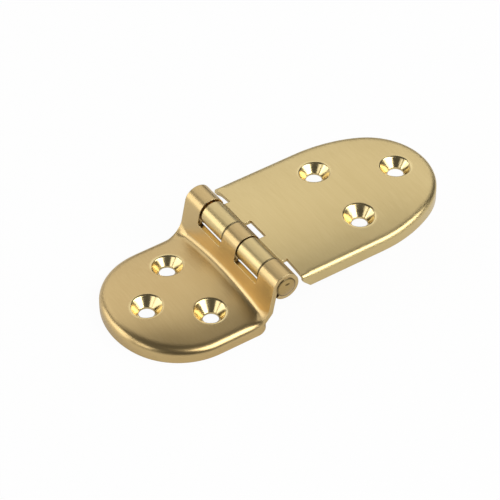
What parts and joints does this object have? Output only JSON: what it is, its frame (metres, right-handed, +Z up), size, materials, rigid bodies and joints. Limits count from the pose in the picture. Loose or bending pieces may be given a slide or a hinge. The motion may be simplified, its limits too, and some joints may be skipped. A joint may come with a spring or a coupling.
{
  "type": "icebox hinge",
  "caption": "Surface-mounted offset hinge with two crowned, rimmed brass leaves, rolled knuckles on a peened pin and countersunk screw holes.",
  "frame": {"origin": "on the short leaf's mounting plane, midway along the hinge's length and halfway along the pin", "axes": "+X from the short leaf's tip to the long leaf's tip, +Y along the pin, +Z up out of the leaves' crowned faces"},
  "size_m": [0.099, 0.0432, 0.0169],
  "materials": {
    "short_leaf": "satin",
    "long_leaf": "satin",
    "hinge_pin": "satin"
  },
  "bodies": {
    "fixed_leaf": {"short_leaf": "short_leaf", "hinge_pin": "hinge_pin"},
    "swinging_leaf": {"long_leaf": "long_leaf"}
  },
  "joints": [
    {"name": "leaf_swing", "type": "hinge", "parent": "fixed_leaf", "child": "swinging_leaf", "pos_m": [-0.0095, 0, 0.013], "axis": [0, -1, 0], "range_deg": [-85, 185]}
  ]
}
